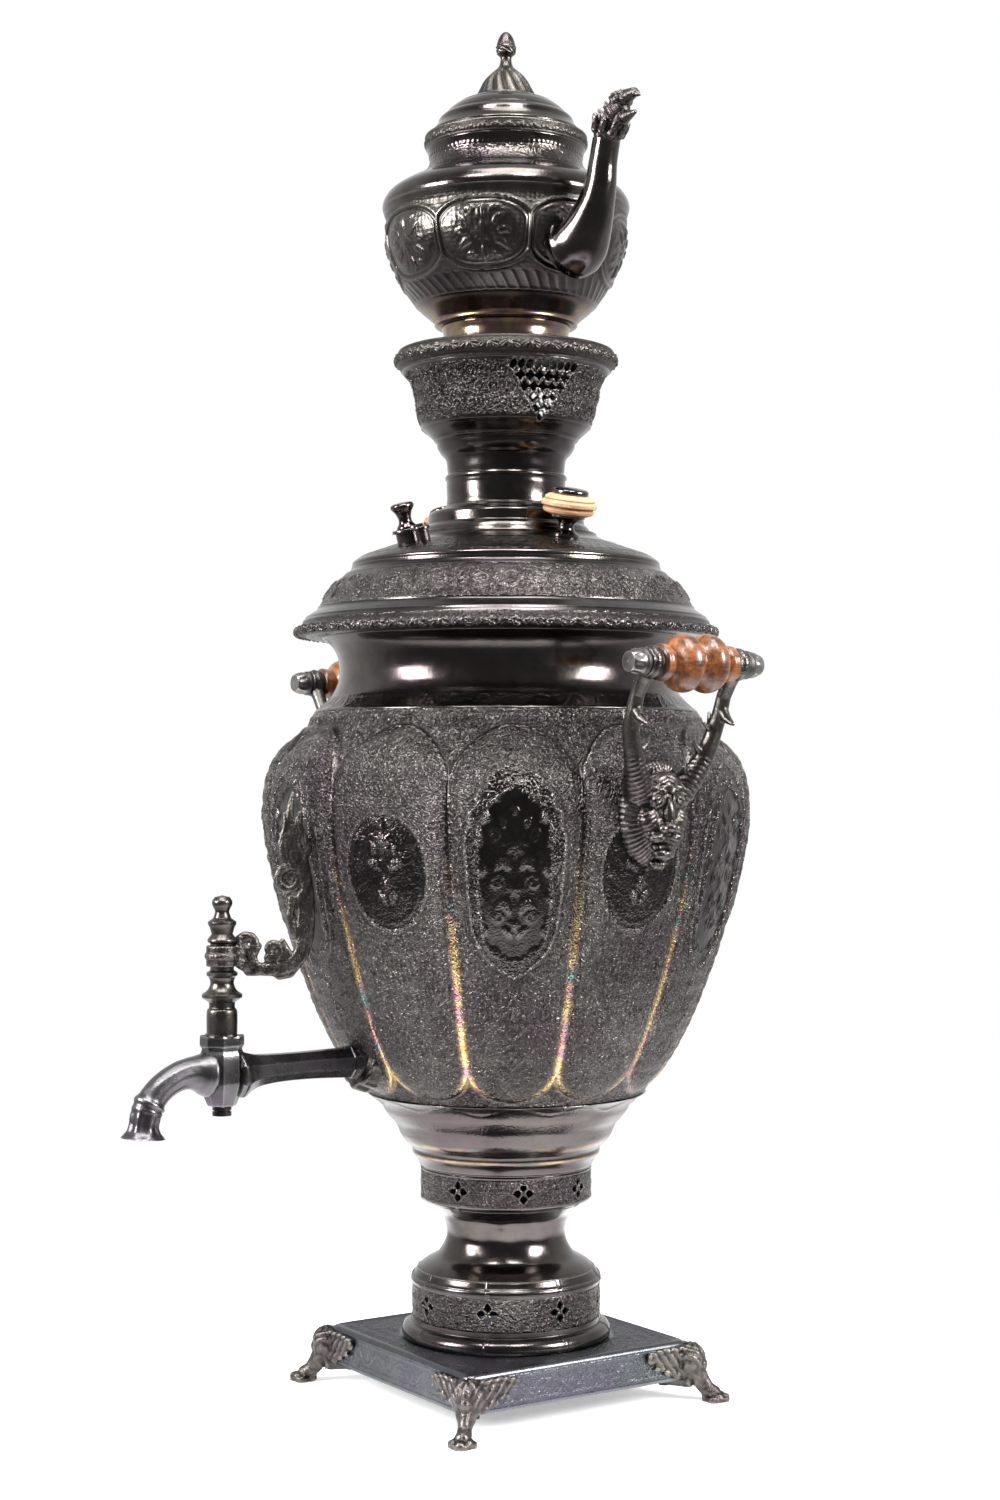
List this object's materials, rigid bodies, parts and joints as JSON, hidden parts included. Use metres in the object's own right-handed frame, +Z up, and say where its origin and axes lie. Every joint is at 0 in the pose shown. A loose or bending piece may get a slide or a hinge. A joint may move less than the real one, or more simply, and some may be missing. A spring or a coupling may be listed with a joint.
{
  "type": "samovar",
  "caption": "Charcoal samovar with a lobed body, front tap, two wooden-grip handles, square footed plinth, pierced crown and a lidded teapot on top.",
  "frame": {"origin": "point on the floor under the vertical axis of the body, between the four soles", "axes": "+Z up along the axis of the body, -Y towards the tap, +X towards the teapot spout and one carrying handle"},
  "size_m": [0.3484, 0.3516, 0.72],
  "materials": {
    "silver_chased": "chased tarnished silver",
    "silver_polished": "polished tarnished silver",
    "cast_silver": "cast tarnished silver",
    "handle_wood": "varnished turned hardwood",
    "knob_wood": "dry turned wood",
    "iron": "sooty iron",
    "bone": "aged bone"
  },
  "bodies": {
    "stand": {"base_plinth": "silver_chased", "plinth_frame": "silver_polished", "foot_front_right": "cast_silver", "foot_front_left": "cast_silver", "foot_back_left": "cast_silver", "foot_back_right": "cast_silver", "foot_screws": "iron", "base_drum": "silver_chased", "pedestal_waist": "silver_polished", "air_gallery": "silver_chased", "body_cup": "silver_polished", "fire_tube": "iron", "reservoir_floor": "silver_polished", "grate_ring": "iron", "fire_grate": "iron", "body_shell": "silver_chased", "neck_shell": "silver_polished", "lid_ring": "silver_chased", "tap_body": "cast_silver", "tap_flange": "cast_silver", "tap_lock_nut": "silver_polished", "handle_bracket_right": "cast_silver", "handle_rod_right": "silver_polished", "handle_end_caps_right": "cast_silver", "handle_bracket_left": "cast_silver", "handle_rod_left": "silver_polished", "handle_end_caps_left": "cast_silver"},
    "lid": {"lid_plate": "silver_polished", "chimney_sleeve": "silver_polished", "lid_knob_stem_right": "silver_polished", "lid_knob_wood_right": "knob_wood", "lid_knob_cap_right": "silver_polished", "lid_knob_stem_left": "silver_polished", "lid_knob_wood_left": "knob_wood", "lid_knob_cap_left": "silver_polished", "vent_collar": "silver_polished", "vent_rivet": "silver_polished"},
    "vent": {"vent_cover": "silver_polished"},
    "crown": {"crown_bowl": "silver_chased", "crown_rim": "cast_silver", "crown_collar": "silver_polished", "teapot_rest": "silver_polished"},
    "teapot": {"teapot_foot": "silver_polished", "teapot_bowl": "silver_chased", "teapot_shoulder": "silver_polished", "teapot_rim_band": "cast_silver", "teapot_spout": "silver_polished", "spout_head": "cast_silver", "teapot_handle_sockets": "cast_silver", "handle_insulators": "bone", "teapot_handle": "silver_polished"},
    "teapot_lid": {"teapot_lid_dome": "silver_polished", "lid_finial": "cast_silver", "finial_nut": "silver_polished"},
    "tap_key_body": {"tap_key": "cast_silver", "tap_rivet": "cast_silver", "tap_lever": "cast_silver"},
    "grip_right": {"handle_grip_right": "handle_wood"},
    "grip_left": {"handle_grip_left": "handle_wood"}
  },
  "joints": [
    {"name": "lid_lift", "type": "slide", "parent": "stand", "child": "lid", "axis": [0, 0, 1], "range_m": [0, 0.06]},
    {"name": "vent_swing", "type": "hinge", "parent": "lid", "child": "vent", "pos_m": [0.0135, -0.06, 0.446], "axis": [0, -0.2588, 0.9659], "range_deg": [-45, 60]},
    {"name": "crown_lift", "type": "slide", "parent": "lid", "child": "crown", "axis": [0, 0, 1], "range_m": [0, 0.03]},
    {"name": "teapot_lift", "type": "slide", "parent": "crown", "child": "teapot", "axis": [0, 0, 1], "range_m": [0, 0.06]},
    {"name": "teapot_lid_lift", "type": "slide", "parent": "teapot", "child": "teapot_lid", "axis": [0, 0, 1], "range_m": [0, 0.04]},
    {"name": "tap_turn", "type": "hinge", "parent": "stand", "child": "tap_key_body", "pos_m": [0, -0.168, 0.1795], "axis": [0, 0, 1], "range_deg": [-90, 0]},
    {"name": "grip_right_spin", "type": "hinge", "parent": "stand", "child": "grip_right", "pos_m": [0.16, 0, 0.378], "axis": [0, 1, 0], "continuous": true},
    {"name": "grip_left_spin", "type": "hinge", "parent": "stand", "child": "grip_left", "pos_m": [-0.16, 0, 0.378], "axis": [0, 1, 0], "continuous": true}
  ]
}
